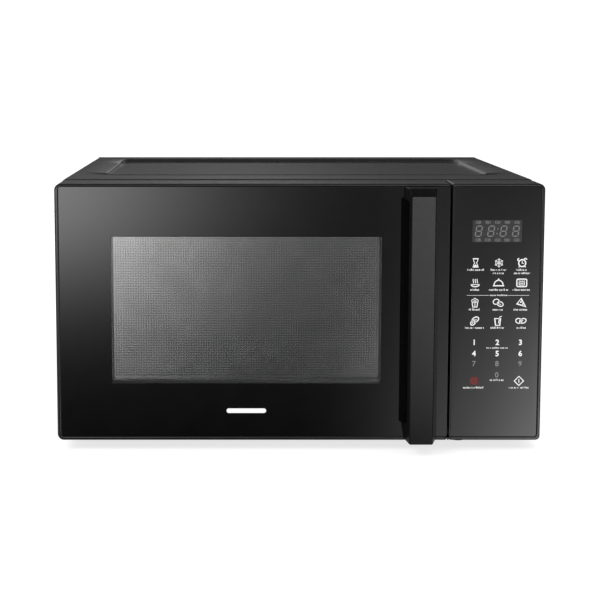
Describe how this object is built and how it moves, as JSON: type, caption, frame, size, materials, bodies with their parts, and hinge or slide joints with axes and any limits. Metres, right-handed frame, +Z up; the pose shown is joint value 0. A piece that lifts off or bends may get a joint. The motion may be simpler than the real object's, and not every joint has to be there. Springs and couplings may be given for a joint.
{
  "type": "microwave oven",
  "caption": "Countertop microwave oven with grill, side-hinged black glass door, turntable and printed touch panel.",
  "frame": {"origin": "on the counter, under the middle of the bounding box", "axes": "+X to the right as seen from the front, -Y towards the user, +Z up; the door is closed"},
  "size_m": [0.539, 0.442, 0.3],
  "materials": {
    "cover_paint": "fine-textured satin black paint",
    "galvanised": "galvanised sheet, slightly mottled",
    "matte_black": "moulded matte black",
    "gland_rubber": "matte black",
    "foot_rubber": "matte black",
    "screw_steel": "zinc-plated",
    "cavity_enamel": "smooth light grey enamel",
    "mica": "pressed mica board",
    "transformer": "varnished core and windings",
    "white_plastic": "natural white moulding",
    "clear_glass": "clear",
    "circuit": "green laminate with parts",
    "quartz": "clear quartz tube with ceramic ends",
    "gloss_black": "polished piano black",
    "black_glass": "black back-printed glass",
    "screen_paint": "grey baked coating on perforated steel",
    "display_glass": "smoked"
  },
  "bodies": {
    "oven": {"cabinet_cover": "cover_paint", "base_plate": "galvanised", "rear_panel": "galvanised", "rear_spacer": "matte_black", "cord_gland": "gland_rubber", "foot_front_left": "foot_rubber", "foot_front_right": "foot_rubber", "foot_rear_left": "foot_rubber", "foot_rear_right": "foot_rubber", "cover_screw_left": "screw_steel", "cover_screw_right": "screw_steel", "front_plate": "cavity_enamel", "oven_cavity": "cavity_enamel", "cavity_back": "cavity_enamel", "waveguide_duct": "galvanised", "waveguide_cover": "mica", "magnetron": "galvanised", "high_voltage_transformer": "transformer", "high_voltage_capacitor": "galvanised", "high_voltage_diode": "matte_black", "fan_housing": "white_plastic", "fan_motor": "galvanised", "air_duct": "white_plastic", "oven_lamp": "clear_glass", "noise_filter_board": "circuit", "grill_guard": "cavity_enamel", "grill_reflector": "galvanised", "quartz_heater_front": "quartz", "quartz_heater_rear": "quartz", "turntable_motor": "galvanised", "upper_hinge_bracket": "galvanised", "lower_hinge_bracket": "galvanised", "latch_housing": "white_plastic", "primary_switch": "matte_black", "monitor_switch": "matte_black", "secondary_switch": "matte_black", "control_panel_frame": "gloss_black", "keypad_overlay": "black_glass", "display_window": "display_glass", "control_board": "circuit", "display_module": "matte_black"},
    "door": {"door_frame": "gloss_black", "door_glass": "black_glass", "door_screen": "screen_paint", "inner_window": "clear_glass", "choke_cover": "matte_black", "door_handle": "gloss_black", "lower_hinge_bush": "white_plastic", "upper_hinge_bush": "white_plastic", "latch_spring": "galvanised"},
    "latch": {"latch_hooks": "white_plastic"},
    "coupler": {"turntable_shaft": "galvanised", "drive_coupler": "white_plastic"},
    "tray": {"glass_tray": "clear_glass"},
    "ring": {"roller_ring": "matte_black"},
    "wheel_1": {"roller_1": "matte_black"},
    "wheel_2": {"roller_2": "matte_black"},
    "wheel_3": {"roller_3": "matte_black"},
    "fan": {"fan_shaft": "galvanised", "fan_blade": "white_plastic"}
  },
  "joints": [
    {"name": "door_hinge", "type": "hinge", "parent": "oven", "child": "door", "pos_m": [-0.2595, -0.175, 0.155], "axis": [0, 0, -1], "range_deg": [0, 110]},
    {"name": "latch_slide", "type": "slide", "parent": "door", "child": "latch", "axis": [0, 0, 1], "range_m": [0, 0.004], "stiffness_N_per_m": 600, "springref_m": -0.003, "deforming": ["latch_spring"]},
    {"name": "turntable_spin", "type": "hinge", "parent": "oven", "child": "coupler", "pos_m": [-0.056, 0.022, 0.045], "axis": [0, 0, 1], "continuous": true},
    {"name": "tray_lift", "type": "slide", "parent": "coupler", "child": "tray", "axis": [0, 0, 1], "range_m": [0, 0.04]},
    {"name": "ring_spin", "type": "hinge", "parent": "oven", "child": "ring", "pos_m": [-0.056, 0.022, 0.0497], "axis": [0, 0, 1], "continuous": true},
    {"name": "fan_spin", "type": "hinge", "parent": "oven", "child": "fan", "pos_m": [0.196, 0.168, 0.196], "axis": [0, 1, 0], "continuous": true},
    {"name": "wheel_1_spin", "type": "hinge", "parent": "ring", "child": "wheel_1", "pos_m": [0.061, 0.022, 0.0497], "axis": [1, 0, 0], "continuous": true},
    {"name": "wheel_2_spin", "type": "hinge", "parent": "ring", "child": "wheel_2", "pos_m": [-0.1145, 0.12333, 0.0497], "axis": [-0.5, 0.866, 0], "continuous": true},
    {"name": "wheel_3_spin", "type": "hinge", "parent": "ring", "child": "wheel_3", "pos_m": [-0.1145, -0.07933, 0.0497], "axis": [-0.5, -0.866, 0], "continuous": true}
  ],
  "couplings": [
    {"joint": "ring_spin", "follows": "turntable_spin", "ratio": 0.5},
    {"joint": "wheel_1_spin", "follows": "turntable_spin", "ratio": -7.9054},
    {"joint": "wheel_2_spin", "follows": "turntable_spin", "ratio": -7.9054},
    {"joint": "wheel_3_spin", "follows": "turntable_spin", "ratio": -7.9054}
  ]
}
